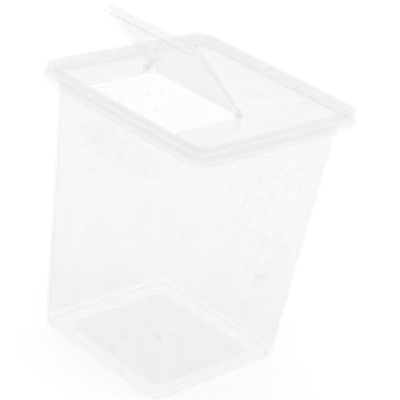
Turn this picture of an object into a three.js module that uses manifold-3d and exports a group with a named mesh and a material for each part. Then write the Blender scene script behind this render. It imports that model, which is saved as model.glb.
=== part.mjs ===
// Pet food bin: a tapered square tub, a lid that sits over the tub's rim, and a flap hinged across the lid.
// Millimetres, +Z up. The origin is the middle of the underside, and -Y is the front, where the flap opens.
// Each of the three pieces is one moulding of clear plastic, so each is one solid.

import * as THREE from "three";
import { mergeVertices } from "three/addons/utils/BufferGeometryUtils.js";
import Module from "manifold-3d";

const wasm = await Module();
wasm.setup();

// Tub. Half-widths are measured from the middle plane to the outside of a flat side.
const WALL = 2; // thickness of the walls, the flange and the hem
const FLOOR = 2.5; // thickness of the floor
const BASE_HALF = 125.3; // where the sloping wall would meet the ground
const SHOULDER_HALF = 144.7; // at the height of the hem's lower edge
const HEM_BOTTOM = 377; // height of the hem's lower edge
const FOOT_ROUND = 8; // radius between the wall and the underside
const FOOT_RING_HALF = 95; // inner half-width of the flat ring that the tub stands on
const FLOOR_RISE = 1.5; // how far the middle of the floor is raised off the ground
const RISE_WIDTH = 3; // width of the slope up to the raised middle

// Rim of the tub: a flange with a turned-down hem, and a lip that stands up inside the lid's channel.
const FLANGE_TOP = 384;
const HEM_HALF = 162.3;
const LIP_OUTER = 156.8;
const LIP_TOP = 396.6;
const EDGE = 0.7; // chamfer on the moulded edges

// Lid: a recessed plate inside a raised bead, whose skirt comes down onto the tub's flange.
const LID_WALL = 1.8;
const PLATE_TOP = 390;
const PLATE = 2; // thickness of the plate
const CREST = 400; // top of the bead
const BEAD_INNER = 147.2; // inner face of the bead, at the plate
const BEAD_OUTER = 159.2; // outer face of the bead, under its rounding
const BEAD_LEAN = 0.5; // how far the bead's two faces lean towards each other over their height
const BEAD_ROUND = 2.2; // radius along the two edges of the crest
const FIT = 0.3; // gap between the skirt's lower edge and the flange

// Plan corners: how far the centres of the corner curves lie from the middle planes.
const CORNER_CENTRE_BASE = 101.5; // of the wall, at the ground
const CORNER_CENTRE_SHOULDER = 120; // of the wall, at the height of the hem's lower edge
const CORNER_CENTRE_LID = 128.5; // of the lid's bead and of the lip inside it
const CORNER_CENTRE_HEM = 134;
const INNER_CORNER_SHARE = 0.8; // near the middle, the corner centres lie at this share of the half-width
const CORNER_STEPS = 7; // flats in each corner curve

// Opening in the lid plate.
const MOUTH_HALF = 84;
const MOUTH_FRONT = -141;
const MOUTH_BACK = -6.5;
const MOUTH_CORNER = 10;

// Flap. In its own frame the hinge axis is the X axis, and the closed flap reaches forwards along -Y.
const HINGE_Y = -20;
const HINGE_Z = 395.5;
const FLAP_REST_ANGLE = 46; // degrees that the flap stands open at rest
const FLAP_HALF = 88;
const FLAP_REACH = 143.6; // from the hinge axis to the front of the lip
const FLAP_TOP = 7.3; // upper face above the hinge axis
const FLAP_PLATE = 2;
const FLAP_CORNER = 10;
const LIP_DEPTH = 14; // from the upper face to the lower edge of the front lip
const SKIRT_FRONT_DEPTH = 9; // depth of the side skirts at their front end
const SKIRT_BACK_DEPTH = 3.5; // and at the hinge
const SKIRT_FRONT = 124; // distance of the side skirts' front end from the hinge axis
const NOTCH_END = 140.4; // distance from the hinge axis at which the front lip begins
const SHOULDER_BACK = 2.3; // how far the flap's outer parts reach behind the hinge axis
const TONGUE_HALF = 80; // the middle part of the flap dips into the opening behind the axis
const TONGUE_BACK = 11;
const TONGUE_DEPTH = 5; // depth of the rib along the tongue's back edge
const CATCH_HALF = 60; // half-length of the catch rib inside the front lip
const CATCH_DEPTH = 1.4;
const CATCH_RISE = 1.2; // height of the catch rib above the lip's lower edge

// Hinge: a boss and a pin at each side of the flap, and an ear with a hole on the lid.
const BOSS_RADIUS = 4;
const BOSS_WIDTH = 3.5;
const PIN_RADIUS = 2;
const PIN_GAP = 0.3; // between the pin and its hole
const EAR_GAP = 1.6; // between the flap's side and the ear
const EAR_WIDTH = 4;
const EAR_RADIUS = 4.5;
const PIN_SHORT = 0.4; // the pin ends this far short of the ear's outer face
const ROUND_STEPS = 24; // flats round a pin, a hole or an ear
const OVERLAP = 0.5; // how far joined shapes run into each other

const clearPlastic = { color: 0xf3f5f6, roughness: 0.28, metalness: 0, transparent: true };
const tubPlastic = new THREE.MeshStandardMaterial({ ...clearPlastic, opacity: 0.45 });
const lidPlastic = new THREE.MeshStandardMaterial({ ...clearPlastic, opacity: 0.5 });
const flapPlastic = new THREE.MeshStandardMaterial({ ...clearPlastic, opacity: 0.5 });

// Signs of X and Y at the four plan corners, in the order in which a profile is turned.
const CORNERS = [
  [1, -1],
  [1, 1],
  [-1, 1],
  [-1, -1],
];

const point = (x, y) => new THREE.Vector2(x, y);

// Points on an arc of a profile, from one angle to another in degrees.
function arcPoints(x, y, radius, from, to, steps) {
  const turn = THREE.MathUtils.degToRad;
  const arc = new THREE.EllipseCurve(x, y, radius, radius, turn(from), turn(to), to < from);
  return arc.getPoints(steps);
}

// Turns a profile of half-widths and heights into a body whose plan is a square with round corners.
// centreAt gives, for a half-width and a height, how far the corner centre lies from the middle planes.
function squareTurned(profile, centreAt) {
  const perCorner = CORNER_STEPS + 1;
  const turned = new THREE.LatheGeometry(profile, 4 * perCorner);
  const places = turned.getAttribute("position");
  for (let i = 0; i < places.count; i++) {
    const { x: half, y: height } = profile[i % profile.length];
    const column = Math.floor(i / profile.length) % (4 * perCorner);
    const corner = Math.floor(column / perCorner);
    const turn = (corner + (column % perCorner) / CORNER_STEPS) * (Math.PI / 2);
    const centre = Math.min(centreAt(half, height), half * INNER_CORNER_SHARE);
    const [signX, signY] = CORNERS[corner];
    const x = signX * centre + (half - centre) * Math.sin(turn);
    const y = signY * centre - (half - centre) * Math.cos(turn);
    places.setXYZ(i, x, y, height);
  }
  return turned;
}

// A closed geometry as a solid that can be joined and cut.
function solid(geometry) {
  const bare = geometry.index ? geometry.toNonIndexed() : geometry.clone();
  bare.deleteAttribute("normal");
  bare.deleteAttribute("uv");
  const merged = mergeVertices(bare, 1e-4);
  const corners = Array.from(merged.index.array);
  const triVerts = [];
  for (let i = 0; i < corners.length; i += 3) {
    const [a, b, c] = corners.slice(i, i + 3);
    if (a !== b && b !== c && c !== a) triVerts.push(a, b, c);
  }
  return new wasm.Manifold(
    new wasm.Mesh({
      numProp: 3,
      vertProperties: merged.getAttribute("position").array,
      triVerts: new Uint32Array(triVerts),
    }),
  );
}

// A solid as a named mesh.
function meshOf(name, made, material) {
  const { numProp, vertProperties, triVerts } = made.getMesh();
  const places = new Float32Array((vertProperties.length / numProp) * 3);
  for (let i = 0; i < places.length / 3; i++) {
    places.set(vertProperties.subarray(i * numProp, i * numProp + 3), i * 3);
  }
  const geometry = new THREE.BufferGeometry();
  geometry.setAttribute("position", new THREE.BufferAttribute(places, 3));
  geometry.setIndex(new THREE.BufferAttribute(triVerts, 1));
  geometry.computeVertexNormals();
  const mesh = new THREE.Mesh(geometry, material);
  mesh.name = name;
  return mesh;
}

// A plain block between two corners.
function block([x0, y0, z0], [x1, y1, z1]) {
  const box = new THREE.BoxGeometry(x1 - x0, y1 - y0, z1 - z0);
  return solid(box.translate((x0 + x1) / 2, (y0 + y1) / 2, (z0 + z1) / 2));
}

// An outline in plan, raised from one height to another.
function raised(shape, bottom, top, curveSegments = 6) {
  const options = { depth: top - bottom, bevelEnabled: false, curveSegments };
  return solid(new THREE.ExtrudeGeometry(shape, options).translate(0, 0, bottom));
}

// An outline drawn in Y and Z, carried along X from one place to another.
function sideways(shape, fromX, toX, curveSegments = ROUND_STEPS / 2) {
  const options = { depth: toX - fromX, bevelEnabled: false, curveSegments };
  const geometry = new THREE.ExtrudeGeometry(shape, options);
  const axes = new THREE.Matrix4().makeBasis(
    new THREE.Vector3(0, 1, 0),
    new THREE.Vector3(0, 0, 1),
    new THREE.Vector3(1, 0, 0),
  );
  return solid(geometry.applyMatrix4(axes).translate(fromX, 0, 0));
}

// A copy of a solid reflected in the YZ plane.
const mirrored = (made) => made.mirror([1, 0, 0]);

// Height above the ground to outer half-width of the tub's wall.
const wallHalf = (z) => BASE_HALF + ((SHOULDER_HALF - BASE_HALF) * z) / HEM_BOTTOM;

function tubBody() {
  const lean = THREE.MathUtils.radToDeg(Math.atan2(SHOULDER_HALF - BASE_HALF, HEM_BOTTOM));
  const footCentre = wallHalf(FOOT_ROUND) - FOOT_ROUND;
  const flangeBottom = FLANGE_TOP - WALL;
  const innerRound = FOOT_ROUND - WALL;
  const profile = [
    point(0, FLOOR_RISE),
    point(FOOT_RING_HALF - RISE_WIDTH, FLOOR_RISE),
    point(FOOT_RING_HALF, 0),
    ...arcPoints(footCentre, FOOT_ROUND, FOOT_ROUND, -90, -lean, 5),
    point(wallHalf(flangeBottom), flangeBottom),
    point(HEM_HALF - WALL, flangeBottom),
    point(HEM_HALF - WALL, HEM_BOTTOM + EDGE / 2),
    point(HEM_HALF - WALL + EDGE / 2, HEM_BOTTOM),
    point(HEM_HALF - EDGE, HEM_BOTTOM),
    point(HEM_HALF, HEM_BOTTOM + EDGE),
    point(HEM_HALF, FLANGE_TOP - EDGE),
    point(HEM_HALF - EDGE, FLANGE_TOP),
    point(LIP_OUTER, FLANGE_TOP),
    point(LIP_OUTER, LIP_TOP - EDGE),
    point(LIP_OUTER - EDGE, LIP_TOP),
    point(LIP_OUTER - WALL + EDGE / 2, LIP_TOP),
    point(LIP_OUTER - WALL, LIP_TOP - EDGE / 2),
    point(LIP_OUTER - WALL, FLANGE_TOP),
    point(wallHalf(FLANGE_TOP) - WALL, FLANGE_TOP),
    ...arcPoints(footCentre, FLOOR + innerRound, innerRound, -lean, -90, 4),
    point(FOOT_RING_HALF, FLOOR),
    point(FOOT_RING_HALF - RISE_WIDTH, FLOOR + FLOOR_RISE),
    point(0, FLOOR + FLOOR_RISE),
  ];
  const wallGrowth = (CORNER_CENTRE_SHOULDER - CORNER_CENTRE_BASE) / HEM_BOTTOM;
  const centreAt = (half, z) => {
    if (half > LIP_OUTER) return CORNER_CENTRE_HEM;
    if (half >= LIP_OUTER - WALL) return CORNER_CENTRE_LID;
    return CORNER_CENTRE_BASE + wallGrowth * z;
  };
  return solid(squareTurned(profile, centreAt));
}

// The lid without its opening: plate, bead and skirt.
function lidShell() {
  const skirtBottom = FLANGE_TOP + FIT;
  const roundHeight = CREST - BEAD_ROUND;
  const profile = [
    point(0, PLATE_TOP - PLATE),
    point(BEAD_INNER + LID_WALL, PLATE_TOP - PLATE),
    point(BEAD_INNER + LID_WALL + BEAD_LEAN, CREST - LID_WALL),
    point(BEAD_OUTER - LID_WALL, CREST - LID_WALL),
    point(BEAD_OUTER - LID_WALL + BEAD_LEAN, skirtBottom),
    point(BEAD_OUTER + BEAD_LEAN - EDGE, skirtBottom),
    point(BEAD_OUTER + BEAD_LEAN, skirtBottom + EDGE),
    ...arcPoints(BEAD_OUTER - BEAD_ROUND, roundHeight, BEAD_ROUND, 0, 90, 4),
    ...arcPoints(BEAD_INNER + BEAD_LEAN + BEAD_ROUND, roundHeight, BEAD_ROUND, 90, 180, 4),
    point(BEAD_INNER, PLATE_TOP),
    point(0, PLATE_TOP),
  ];
  return solid(squareTurned(profile, () => CORNER_CENTRE_LID));
}

function roundedRectangle(x0, y0, x1, y1, radius) {
  const quarter = Math.PI / 2;
  return new THREE.Shape()
    .absarc(x1 - radius, y0 + radius, radius, -quarter, 0, false)
    .absarc(x1 - radius, y1 - radius, radius, 0, quarter, false)
    .absarc(x0 + radius, y1 - radius, radius, quarter, 2 * quarter, false)
    .absarc(x0 + radius, y0 + radius, radius, 2 * quarter, 3 * quarter, false);
}

// One ear of the hinge, on the +X side, with the hole for the flap's pin.
function hingeEar() {
  const foot = HINGE_Z - PLATE_TOP + OVERLAP;
  const outline = new THREE.Shape()
    .moveTo(-EAR_RADIUS, -foot)
    .lineTo(EAR_RADIUS, -foot)
    .absarc(0, 0, EAR_RADIUS, 0, Math.PI, false)
    .lineTo(-EAR_RADIUS, -foot);
  outline.holes.push(new THREE.Path().absarc(0, 0, PIN_RADIUS + PIN_GAP, 0, 2 * Math.PI, false));
  const earStart = FLAP_HALF + EAR_GAP;
  return sideways(outline, earStart, earStart + EAR_WIDTH).translate([0, HINGE_Y, HINGE_Z]);
}

function lidFrame() {
  const mouth = roundedRectangle(-MOUTH_HALF, MOUTH_FRONT, MOUTH_HALF, MOUTH_BACK, MOUTH_CORNER);
  const ear = hingeEar();
  return lidShell()
    .subtract(raised(mouth, PLATE_TOP - 2 * PLATE, PLATE_TOP + PLATE))
    .add(ear)
    .add(mirrored(ear));
}

// Plan of the flap's plate: round front corners, and a narrower tongue behind the hinge axis.
// inset draws the same outline that far inside it.
function flapOutline(inset = 0) {
  const side = FLAP_HALF - inset;
  const front = FLAP_REACH - inset;
  const radius = FLAP_CORNER - inset;
  const quarter = Math.PI / 2;
  return new THREE.Shape()
    .moveTo(-side, SHOULDER_BACK)
    .lineTo(-side, -front + radius)
    .absarc(-side + radius, -front + radius, radius, 2 * quarter, 3 * quarter, false)
    .absarc(side - radius, -front + radius, radius, 3 * quarter, 4 * quarter, false)
    .lineTo(side, SHOULDER_BACK)
    .lineTo(TONGUE_HALF, SHOULDER_BACK)
    .lineTo(TONGUE_HALF, TONGUE_BACK)
    .lineTo(-TONGUE_HALF, TONGUE_BACK)
    .lineTo(-TONGUE_HALF, SHOULDER_BACK);
}

// The front lip with its catch rib: the rim of the outline, kept only in front of the notches.
function frontLip() {
  const bottom = FLAP_TOP - LIP_DEPTH;
  const top = FLAP_TOP - OVERLAP;
  const catchBottom = bottom + CATCH_RISE;
  const inside = -FLAP_REACH + FLAP_PLATE;
  const band = raised(flapOutline(), bottom, top)
    .subtract(raised(flapOutline(FLAP_PLATE), bottom - OVERLAP, top + OVERLAP))
    .intersect(block([-FLAP_HALF, -FLAP_REACH, bottom], [FLAP_HALF, -NOTCH_END, top]));
  const catchRib = block(
    [-CATCH_HALF, inside - OVERLAP, catchBottom],
    [CATCH_HALF, inside + CATCH_DEPTH, catchBottom + CATCH_DEPTH],
  );
  return band.add(catchRib);
}

// Side skirt, hinge boss and pin on the +X side.
function flapSide() {
  const top = FLAP_TOP - OVERLAP;
  const skirt = new THREE.Shape([
    point(-SKIRT_FRONT, top),
    point(-SKIRT_FRONT, FLAP_TOP - SKIRT_FRONT_DEPTH),
    point(0, FLAP_TOP - SKIRT_BACK_DEPTH),
    point(0, top),
  ]);
  const boss = new THREE.Shape()
    .moveTo(-BOSS_RADIUS, top)
    .lineTo(-BOSS_RADIUS, 0)
    .absarc(0, 0, BOSS_RADIUS, Math.PI, 2 * Math.PI, false)
    .lineTo(BOSS_RADIUS, BOSS_RADIUS / 2)
    .lineTo(SHOULDER_BACK, BOSS_RADIUS)
    .lineTo(SHOULDER_BACK, top);
  const pinEnd = FLAP_HALF + EAR_GAP + EAR_WIDTH - PIN_SHORT;
  const pinLength = pinEnd - FLAP_HALF + OVERLAP;
  const pin = new THREE.CylinderGeometry(PIN_RADIUS, PIN_RADIUS, pinLength, ROUND_STEPS);
  pin.rotateZ(Math.PI / 2).translate(pinEnd - pinLength / 2, 0, 0);
  return sideways(skirt, FLAP_HALF - FLAP_PLATE, FLAP_HALF)
    .add(sideways(boss, FLAP_HALF - BOSS_WIDTH, FLAP_HALF))
    .add(solid(pin));
}

function flapBody() {
  const plate = raised(flapOutline(), FLAP_TOP - FLAP_PLATE, FLAP_TOP);
  const tongueRib = block(
    [-TONGUE_HALF, TONGUE_BACK - FLAP_PLATE, FLAP_TOP - TONGUE_DEPTH],
    [TONGUE_HALF, TONGUE_BACK, FLAP_TOP - OVERLAP],
  );
  const side = flapSide();
  return plate.add(frontLip()).add(tongueRib).add(side).add(mirrored(side));
}

const bin = new THREE.Group();
bin.add(meshOf("bin_body", tubBody(), tubPlastic));
bin.add(meshOf("lid_frame", lidFrame(), lidPlastic));

const hinge = new THREE.Group();
hinge.position.set(0, HINGE_Y, HINGE_Z);
hinge.rotation.x = -THREE.MathUtils.degToRad(FLAP_REST_ANGLE);
hinge.add(meshOf("flap", flapBody(), flapPlastic));
bin.add(hinge);

export default bin;
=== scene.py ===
"""Pet food bin in clear plastic: a tapered square tub, a lid over its rim and a flap hinged on the lid.

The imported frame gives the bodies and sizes. Three fine shells stand for its plain solids, and the
hinge ears, lugs, pins, ribs and raised marks are pieces of their own that ride on the same bodies.
"""

import logging
import math
from collections.abc import Callable, Iterable
from dataclasses import dataclass, replace
from enum import Enum

import bmesh
import bpy
from mathutils import Matrix, Vector


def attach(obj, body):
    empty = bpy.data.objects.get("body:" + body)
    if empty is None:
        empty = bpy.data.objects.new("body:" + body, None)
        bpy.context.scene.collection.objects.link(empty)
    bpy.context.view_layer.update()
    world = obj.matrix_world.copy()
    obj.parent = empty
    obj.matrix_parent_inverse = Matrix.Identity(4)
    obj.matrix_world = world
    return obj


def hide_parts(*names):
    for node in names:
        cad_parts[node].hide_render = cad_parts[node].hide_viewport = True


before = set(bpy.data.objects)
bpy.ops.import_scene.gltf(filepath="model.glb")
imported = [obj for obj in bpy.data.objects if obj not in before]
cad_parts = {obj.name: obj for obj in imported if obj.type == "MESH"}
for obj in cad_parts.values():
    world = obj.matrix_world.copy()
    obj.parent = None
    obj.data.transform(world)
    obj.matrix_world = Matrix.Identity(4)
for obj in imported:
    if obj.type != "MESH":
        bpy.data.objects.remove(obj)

LOG = logging.getLogger("pet_food_bin")
MM = 0.001
QUARTER_TURN = math.pi / 2
TOUCH = 1e-6  # places nearer to each other than this, in metres, count as one


# ---------------------------------------------------------------- modelling


class Grip(Enum):
    """What a selection in edit mode is made of."""

    POINTS = "VERT"
    EDGES = "EDGE"
    FACES = "FACE"


@dataclass(frozen=True)
class Ring:
    """A rounded rectangle lying flat: four corner curves joined by straight sides.

    Attributes:
        reach_x: distance of the corner centres from the middle along X.
        reach_y: the same along Y.
        radius: radius of the corner curves.
        height: place along Z.
        middle: X and Y of the middle.
    """

    reach_x: float
    reach_y: float
    radius: float
    height: float
    middle: tuple[float, float] = (0.0, 0.0)

    def corner(self, side_x: int, side_y: int) -> Vector:
        """Returns the centre of one corner curve."""
        x, y = self.middle
        return Vector((x + side_x * self.reach_x, y + side_y * self.reach_y, self.height))


@dataclass(frozen=True)
class Knee:
    """A corner of a moulded profile: half-width, height and the radius that rounds it."""

    half: float
    height: float
    rounding: float = 0.0


def rounded_profile(knees: Iterable[Knee], steps: int = 3) -> list[tuple[float, float]]:
    """Rounds the corners of a profile.

    Args:
        knees: the corners in order.
        steps: how many chords each rounding takes.

    Returns:
        Half-width and height of each point along the rounded profile.
    """
    chain = list(knees)
    points: list[tuple[float, float]] = []
    for index, knee in enumerate(chain):
        here = Vector((knee.half, knee.height))
        if knee.rounding <= 0 or index in (0, len(chain) - 1):
            points.append((here.x, here.y))
            continue
        back = (Vector((chain[index - 1].half, chain[index - 1].height)) - here).normalized()
        ahead = (Vector((chain[index + 1].half, chain[index + 1].height)) - here).normalized()
        half_angle = math.acos(max(-1.0, min(1.0, back.dot(ahead)))) / 2
        centre = here + (back + ahead).normalized() * (knee.rounding / math.sin(half_angle))
        start = here + back * (knee.rounding / math.tan(half_angle)) - centre
        sweep = math.pi - 2 * half_angle
        turn = sweep if start.x * ahead.y - start.y * ahead.x > 0 else -sweep
        for step in range(steps + 1):
            angle = turn * step / steps
            x = start.x * math.cos(angle) - start.y * math.sin(angle)
            y = start.x * math.sin(angle) + start.y * math.cos(angle)
            points.append((centre.x + x, centre.y + y))
    return points


def anywhere(place: Vector) -> bool:
    """Says yes to every place."""
    return True


class Workpiece:
    """One mesh, shaped in edit mode with Blender's own operators, with its place in its mesh."""

    def __init__(self, name: str) -> None:
        """Puts an empty mesh on the bench and opens it for editing.

        Args:
            name: name of the object and its mesh.
        """
        bpy.ops.object.select_all(action="DESELECT")
        bpy.ops.object.add(type="MESH", location=(0, 0, 0))
        self.obj: bpy.types.Object = bpy.context.object
        self.obj.name = name
        self.obj.data.name = name
        bpy.ops.object.mode_set(mode="EDIT")

    def pick(self, grip: Grip, test: Callable[[Vector], bool] = anywhere, open_only: bool = False) -> None:
        """Selects by place: points, or edges and faces by their middle.

        Args:
            grip: what is selected.
            test: says of a place whether it is taken.
            open_only: whether only edges that bound a hole or a lone outline are taken.
        """
        bpy.ops.mesh.select_mode(type=grip.value)
        cage = bmesh.from_edit_mesh(self.obj.data)
        self._clear(cage)
        for item in {Grip.POINTS: cage.verts, Grip.EDGES: cage.edges, Grip.FACES: cage.faces}[grip]:
            if test(self._middle(item, grip)) and not (open_only and len(item.link_faces) > 1):
                item.select_set(True)
        cage.select_flush_mode()
        bmesh.update_edit_mesh(self.obj.data)

    def picked_points(self) -> list[int]:
        """Returns the numbers of the selected points."""
        cage = bmesh.from_edit_mesh(self.obj.data)
        return [point.index for point in cage.verts if point.select]

    def pick_points(self, numbers: Iterable[int], test: Callable[[Vector], bool] = anywhere) -> None:
        """Selects points by number, where a test allows them.

        Args:
            numbers: the points that may be taken.
            test: says of a place whether it is taken.
        """
        bpy.ops.mesh.select_mode(type="VERT")
        cage = bmesh.from_edit_mesh(self.obj.data)
        cage.verts.ensure_lookup_table()
        self._clear(cage)
        for number in numbers:
            if test(cage.verts[number].co):
                cage.verts[number].select_set(True)
        cage.select_flush_mode()
        bmesh.update_edit_mesh(self.obj.data)

    def add_disc(
        self, radius: float, place: Vector, chords: int, across: bool = False, filled: bool = True
    ) -> None:
        """Adds a round outline, which lies flat or stands across the X axis.

        Args:
            radius: its radius.
            place: its middle.
            chords: how many chords it has.
            across: whether it stands across the X axis.
            filled: whether it has a face.
        """
        bpy.ops.mesh.primitive_circle_add(
            vertices=chords,
            radius=radius,
            fill_type="NGON" if filled else "NOTHING",
            location=place,
            rotation=(0, QUARTER_TURN if across else 0, 0),
        )

    def round_corners(self, radius: float, chords: int) -> None:
        """Rounds the selected corners of a flat outline."""
        bpy.ops.mesh.bevel(
            offset=radius, offset_type="OFFSET", affect="VERTICES", segments=chords, profile=0.5
        )

    def stretch(self, factors: tuple[float, float, float], about: Vector) -> None:
        """Scales what is selected about a point."""
        bpy.ops.transform.resize(value=factors, center_override=about)

    def shift(self, by: tuple[float, float, float]) -> None:
        """Moves what is selected."""
        bpy.ops.transform.translate(value=by)

    def pull(self, by: tuple[float, float, float]) -> None:
        """Extrudes what is selected as one region and moves it."""
        bpy.ops.mesh.extrude_region_move(TRANSFORM_OT_translate={"value": by})

    def pull_edges(self, by: tuple[float, float, float]) -> None:
        """Extrudes the selected edges, leaving any face between them where it is."""
        bpy.ops.mesh.extrude_edges_move(TRANSFORM_OT_translate={"value": by})

    def slice(self, place: tuple[float, float, float], normal: tuple[float, float, float]) -> None:
        """Cuts new edges through the whole mesh along a plane."""
        bpy.ops.mesh.select_all(action="SELECT")
        bpy.ops.mesh.bisect(plane_co=place, plane_no=normal)

    def finish(self, outward: bool = True) -> bpy.types.Object:
        """Merges doubled points, turns the faces outwards and closes the edit.

        Args:
            outward: whether the faces are turned outwards again.

        Returns:
            The finished object.
        """
        bpy.ops.mesh.select_all(action="SELECT")
        bpy.ops.mesh.remove_doubles(threshold=TOUCH)
        if outward:
            bpy.ops.mesh.normals_make_consistent(inside=False)
        bpy.ops.mesh.select_all(action="DESELECT")
        bpy.ops.object.mode_set(mode="OBJECT")
        return self.obj

    @staticmethod
    def _clear(cage: bmesh.types.BMesh) -> None:
        """Deselects everything in the mesh."""
        for item in (*cage.faces, *cage.edges, *cage.verts):
            item.select = False

    @staticmethod
    def _middle(item: bmesh.types.BMVert | bmesh.types.BMEdge | bmesh.types.BMFace, grip: Grip) -> Vector:
        """Finds the place that stands for a point, an edge or a face.

        Args:
            item: the point, edge or face.
            grip: which of the three it is.

        Returns:
            Its place or its middle.
        """
        if grip is Grip.POINTS:
            return item.co.copy()
        if grip is Grip.EDGES:
            return (item.verts[0].co + item.verts[1].co) / 2
        return item.calc_center_median()


class OutlineDraw:
    """A skin drawn from one rounded outline to the next, as a mould maker lofts it."""

    CORNERS = ((1, 1), (-1, 1), (-1, -1), (1, -1))

    def __init__(self, piece: Workpiece, corner_steps: int) -> None:
        """Keeps the piece that is drawn on.

        Args:
            piece: the mesh, open for editing.
            corner_steps: chords in each corner curve.
        """
        self.piece = piece
        self.corner_steps = corner_steps
        self.at: Ring | None = None
        self.points: list[int] = []

    def begin(self, ring: Ring, keep_face: bool) -> None:
        """Adds a plane of the ring's size and rounds its corners.

        Args:
            ring: the first outline.
            keep_face: whether the outline stays filled.
        """
        place = Vector((*ring.middle, ring.height))
        bpy.ops.mesh.primitive_plane_add(size=2, location=place)
        wide, deep = ring.reach_x + ring.radius, ring.reach_y + ring.radius
        self.piece.stretch((wide, deep, 1), place)
        self.piece.round_corners(ring.radius, self.corner_steps)
        self.points = self.piece.picked_points()
        if not keep_face:
            bpy.ops.mesh.delete(type="ONLY_FACE")
        self.at = ring

    def draw_to(self, ring: Ring) -> None:
        """Extrudes the outline and sets each corner curve to the new ring.

        Args:
            ring: the next outline.
        """
        old = self.at
        self.piece.pick_points(self.points)
        self.piece.pull_edges((0, 0, 0))
        self.points = self.piece.picked_points()
        growth = ring.radius / old.radius
        mid_x, mid_y = old.middle
        for side_x, side_y in self.CORNERS:
            self.piece.pick_points(
                self.points, lambda at: (at.x - mid_x) * side_x > 0 and (at.y - mid_y) * side_y > 0
            )
            centre = old.corner(side_x, side_y)
            self.piece.stretch((growth, growth, 1), centre)
            self.piece.shift(tuple(ring.corner(side_x, side_y) - centre))
        self.at = ring

    def close(self) -> None:
        """Fills the last outline."""
        self.piece.pick_points(self.points)
        bpy.ops.mesh.edge_face_add()


class Bench:
    """Work on whole objects: modifiers, placing, shading and copies."""

    @staticmethod
    def _only(obj: bpy.types.Object) -> None:
        """Selects one object and makes it active."""
        bpy.ops.object.select_all(action="DESELECT")
        obj.select_set(True)
        bpy.context.view_layer.objects.active = obj

    @classmethod
    def bevel(cls, obj: bpy.types.Object, width: float, segments: int = 2, angle: float = 40.0) -> None:
        """Rounds the sharp edges of a piece.

        Args:
            obj: the piece.
            width: width of the rounding in metres.
            segments: chords across it.
            angle: edges sharper than this many degrees are rounded.
        """
        cls._only(obj)
        rounding = obj.modifiers.new("edges", "BEVEL")
        rounding.width = width
        rounding.segments = segments
        rounding.limit_method = "ANGLE"
        rounding.angle_limit = math.radians(angle)
        rounding.use_clamp_overlap = True
        bpy.ops.object.modifier_apply(modifier=rounding.name)

    @classmethod
    def cut(cls, obj: bpy.types.Object, cutter: bpy.types.Object) -> None:
        """Cuts one piece with another, which is used up.

        Args:
            obj: the piece that is cut.
            cutter: the closed shape that is taken away.
        """
        cls._only(obj)
        boolean = obj.modifiers.new("cut", "BOOLEAN")
        boolean.operation = "DIFFERENCE"
        boolean.solver = "EXACT"
        boolean.object = cutter
        bpy.ops.object.modifier_apply(modifier=boolean.name)
        bpy.data.objects.remove(cutter)

    @classmethod
    def smooth(cls, obj: bpy.types.Object, angle: float = 32.0) -> None:
        """Shades a piece smoothly and keeps its flat faces flat.

        Args:
            obj: the piece.
            angle: edges sharper than this many degrees stay crisp.
        """
        cls._only(obj)
        bpy.ops.object.shade_smooth_by_angle(angle=math.radians(angle))
        weighting = obj.modifiers.new("flats", "WEIGHTED_NORMAL")
        weighting.keep_sharp = True
        bpy.ops.object.modifier_apply(modifier=weighting.name)

    @classmethod
    def place(cls, obj: bpy.types.Object, matrix: Matrix) -> None:
        """Turns and moves a piece, and puts its place into its mesh.

        Args:
            obj: the piece, modelled about the origin.
            matrix: where it goes.
        """
        cls._only(obj)
        obj.matrix_world = matrix
        bpy.ops.object.transform_apply(location=True, rotation=True, scale=True)

    @classmethod
    def copy(cls, obj: bpy.types.Object, name: str) -> bpy.types.Object:
        """Copies a piece with a mesh of its own.

        Args:
            obj: the piece that is copied.
            name: name of the copy.

        Returns:
            The copy.
        """
        cls._only(obj)
        bpy.ops.object.duplicate(linked=False)
        twin = bpy.context.object
        twin.name = name
        twin.data.name = name
        return twin


# ---------------------------------------------------------------- shader maths


class Level:
    """A number that varies over a surface: one socket that takes part in Python arithmetic."""

    def __init__(self, recipe: "Recipe", socket: bpy.types.NodeSocket) -> None:
        """Wraps a socket.

        Args:
            recipe: the material that the socket belongs to.
            socket: the output that carries the number.
        """
        self.recipe = recipe
        self.socket = socket

    def _math(self, operation: str, first: "Level | float", second: "Level | float") -> "Level":
        """Adds one Math node."""
        made = self.recipe.node("ShaderNodeMath", {"operation": operation}, {0: first, 1: second})
        return Level(self.recipe, made.outputs[0])

    def __add__(self, other: "Level | float") -> "Level":
        """Returns the sum."""
        return self._math("ADD", self, other)

    __radd__ = __add__

    def __mul__(self, other: "Level | float") -> "Level":
        """Returns the product."""
        return self._math("MULTIPLY", self, other)

    __rmul__ = __mul__

    def __rsub__(self, other: "Level | float") -> "Level":
        """Returns the difference the other way round."""
        return self._math("SUBTRACT", other, self)

    def __pow__(self, other: "Level | float") -> "Level":
        """Returns the power."""
        return self._math("POWER", self, other)

    def __abs__(self) -> "Level":
        """Returns the size without its sign."""
        return self._math("ABSOLUTE", self, 0.0)

    def at_most(self, high: "Level | float") -> "Level":
        """Returns the smaller of the two."""
        return self._math("MINIMUM", self, high)

    def rise(self, low: float, high: float) -> "Level":
        """Turns the number into a smooth step.

        Args:
            low: where the step leaves 0.
            high: where it gets to 1.

        Returns:
            The step, from 0 to 1.
        """
        made = self.recipe.node(
            "ShaderNodeMapRange",
            {"interpolation_type": "SMOOTHSTEP"},
            {"Value": self, "From Min": low, "From Max": high, "To Min": 0.0, "To Max": 1.0},
        )
        return Level(self.recipe, made.outputs["Result"])


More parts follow.
